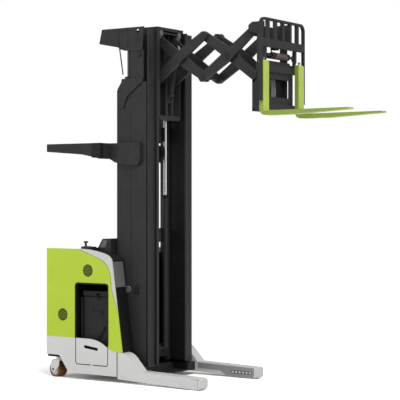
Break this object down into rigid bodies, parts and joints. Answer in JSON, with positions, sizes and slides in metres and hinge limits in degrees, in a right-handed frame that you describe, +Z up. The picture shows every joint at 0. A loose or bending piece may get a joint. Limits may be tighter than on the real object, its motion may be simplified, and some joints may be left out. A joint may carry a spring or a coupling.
{
  "type": "very narrow aisle truck",
  "caption": "Stand-up reach truck with straddle legs, a telescopic mast, an overhead guard and a scissor carriage that pushes side-shifting forks out.",
  "frame": {"origin": "middle of the footprint on the floor", "axes": "+X forward towards the fork tips, +Y to the truck's left, +Z up"},
  "size_m": [3.285, 1.1, 3.43],
  "materials": {
    "lime": "satin lime green paint",
    "lime_fork": "satin lime green paint, worn",
    "grey_light": "satin light grey paint",
    "cream": "satin off-white paint",
    "mast_grey": "satin dark grey paint",
    "black": "matte black paint",
    "black_plastic": "textured black plastic",
    "chrome": "hard chrome rod",
    "mat": "ribbed rubber",
    "tyre_dark": "solid polyurethane",
    "tyre_orange": "orange-brown polyurethane",
    "steel": "machined steel"
  },
  "bodies": {
    "chassis": {"chassis_frame": "black", "upper_panel_right": "lime", "upper_panel_left": "lime", "shoulder_trims": "cream", "skirt_right": "grey_light", "skirt_left": "grey_light", "straddle_leg_right": "grey_light", "straddle_leg_left": "grey_light", "console_deck": "black_plastic", "console": "black_plastic", "armrest": "black_plastic", "drive_pod": "black_plastic", "steering_tiller": "black_plastic", "floor_mat": "mat", "battery": "black", "mast_outer_rail_right": "mast_grey", "mast_outer_rail_left": "mast_grey", "mast_outer_crossbars": "mast_grey", "mast_base": "mast_grey", "lift_cylinders": "mast_grey", "overhead_guard": "mast_grey", "guard_brackets": "mast_grey"},
    "gate_right": {"bay_gate_right": "grey_light"},
    "gate_left": {"bay_gate_left": "grey_light"},
    "steer_unit": {"steer_unit": "black"},
    "drive_wheel": {"drive_hub": "steel", "drive_tyre": "tyre_dark"},
    "caster_yoke": {"caster_fork": "grey_light"},
    "caster_wheel": {"caster_hub": "grey_light", "caster_tyre": "tyre_orange"},
    "load_wheel_right_1": {"load_wheel_right_1": "tyre_orange"},
    "load_wheel_right_2": {"load_wheel_right_2": "tyre_orange"},
    "load_wheel_left_1": {"load_wheel_left_1": "tyre_orange"},
    "load_wheel_left_2": {"load_wheel_left_2": "tyre_orange"},
    "mast_mid": {"mast_mid_rail_right": "mast_grey", "mast_mid_rail_left": "mast_grey", "mast_mid_crossbars": "mast_grey", "mast_head": "mast_grey", "lift_rods": "chrome"},
    "mast_inner": {"mast_inner_rail_right": "mast_grey", "mast_inner_rail_left": "mast_grey", "mast_inner_crossbars": "mast_grey", "free_lift_cylinders": "mast_grey"},
    "free_lift": {"free_lift_rams": "chrome"},
    "carriage": {"mast_carriage": "mast_grey"},
    "arm_a1": {"scissor_arm_a1": "mast_grey"},
    "arm_b1": {"scissor_arm_b1": "mast_grey"},
    "arm_a2": {"scissor_arm_a2": "mast_grey"},
    "arm_b2": {"scissor_arm_b2": "mast_grey"},
    "reach_barrel": {"reach_barrel": "mast_grey"},
    "reach_rod": {"reach_rod": "chrome"},
    "fork_carriage": {"fork_frame": "mast_grey", "shift_cylinder": "black"},
    "fork_shift": {"shift_frame": "mast_grey", "load_backrest": "mast_grey", "forks": "lime_fork"}
  },
  "joints": [
    {"name": "mast_lift", "type": "slide", "parent": "chassis", "child": "mast_mid", "axis": [0, 0, 1], "range_m": [0, 2.3]},
    {"name": "inner_lift", "type": "slide", "parent": "mast_mid", "child": "mast_inner", "axis": [0, 0, 1], "range_m": [0, 2.3]},
    {"name": "carriage_lift", "type": "slide", "parent": "mast_inner", "child": "carriage", "axis": [0, 0, 1], "range_m": [-2.46, 0]},
    {"name": "free_lift_ram", "type": "slide", "parent": "mast_inner", "child": "free_lift", "axis": [0, 0, 1], "range_m": [-1.23, 0]},
    {"name": "reach", "type": "hinge", "parent": "carriage", "child": "arm_a1", "pos_m": [-0.5795, 0, 3.313], "axis": [0, 1, 0], "range_deg": [-2, 43.8]},
    {"name": "scissor_cross_1", "type": "hinge", "parent": "arm_a1", "child": "arm_b1", "pos_m": [-0.31038, 0, 3.11603], "axis": [0, 1, 0], "range_deg": [-87.6, 4]},
    {"name": "scissor_knee", "type": "hinge", "parent": "arm_b1", "child": "arm_a2", "pos_m": [-0.04126, 0, 3.313], "axis": [0, 1, 0], "range_deg": [-4, 87.6]},
    {"name": "scissor_cross_2", "type": "hinge", "parent": "arm_a2", "child": "arm_b2", "pos_m": [0.22786, 0, 3.11603], "axis": [0, 1, 0], "range_deg": [-87.6, 4]},
    {"name": "fork_carriage_pivot", "type": "hinge", "parent": "arm_b2", "child": "fork_carriage", "pos_m": [0.49699, 0, 3.313], "axis": [0, 1, 0], "range_deg": [-2, 43.8]},
    {"name": "reach_barrel_swing", "type": "hinge", "parent": "carriage", "child": "reach_barrel", "pos_m": [-0.5245, 0, 2.78], "axis": [0, 1, 0], "range_deg": [-11.83, 0.54]},
    {"name": "reach_rod_slide", "type": "slide", "parent": "reach_barrel", "child": "reach_rod", "axis": [0.147, 0, 0.9891], "range_m": [-0.07096, 0.00324]},
    {"name": "side_shift", "type": "slide", "parent": "fork_carriage", "child": "fork_shift", "axis": [0, 1, 0], "range_m": [-0.075, 0.075]},
    {"name": "drive_steer", "type": "hinge", "parent": "chassis", "child": "steer_unit", "pos_m": [-1.4575, 0.345, 0.36], "axis": [0, 0, 1], "range_deg": [-90, 90]},
    {"name": "drive_roll", "type": "hinge", "parent": "steer_unit", "child": "drive_wheel", "pos_m": [-1.4575, 0.345, 0.15], "axis": [0, 1, 0], "continuous": true},
    {"name": "caster_swivel", "type": "hinge", "parent": "chassis", "child": "caster_yoke", "pos_m": [-1.5235, -0.4775, 0.215], "axis": [0, 0, 1], "continuous": true},
    {"name": "caster_roll", "type": "hinge", "parent": "caster_yoke", "child": "caster_wheel", "pos_m": [-1.55789, -0.471, 0.076], "axis": [0.1857, 0.9826, 0], "continuous": true},
    {"name": "gate_right_lift", "type": "slide", "parent": "chassis", "child": "gate_right", "axis": [0, 0, 1], "range_m": [0, 0.45]},
    {"name": "gate_left_lift", "type": "slide", "parent": "chassis", "child": "gate_left", "axis": [0, 0, 1], "range_m": [0, 0.45]},
    {"name": "load_wheel_right_1_roll", "type": "hinge", "parent": "chassis", "child": "load_wheel_right_1", "pos_m": [-0.0025, -0.489, 0.05], "axis": [0, 1, 0], "continuous": true},
    {"name": "load_wheel_right_2_roll", "type": "hinge", "parent": "chassis", "child": "load_wheel_right_2", "pos_m": [0.1225, -0.489, 0.05], "axis": [0, 1, 0], "continuous": true},
    {"name": "load_wheel_left_1_roll", "type": "hinge", "parent": "chassis", "child": "load_wheel_left_1", "pos_m": [-0.0025, 0.489, 0.05], "axis": [0, 1, 0], "continuous": true},
    {"name": "load_wheel_left_2_roll", "type": "hinge", "parent": "chassis", "child": "load_wheel_left_2", "pos_m": [0.1225, 0.489, 0.05], "axis": [0, 1, 0], "continuous": true}
  ],
  "couplings": [
    {"joint": "inner_lift", "follows": "mast_lift", "ratio": 1},
    {"joint": "free_lift_ram", "follows": "carriage_lift", "ratio": 0.5},
    {"joint": "scissor_cross_1", "follows": "reach", "ratio": -2},
    {"joint": "scissor_knee", "follows": "reach", "ratio": 2},
    {"joint": "scissor_cross_2", "follows": "reach", "ratio": -2},
    {"joint": "fork_carriage_pivot", "follows": "reach", "ratio": 1},
    {"joint": "reach_barrel_swing", "follows": "reach", "ratio": -0.27},
    {"joint": "reach_rod_slide", "follows": "reach", "m_per_rad": -0.092819}
  ]
}
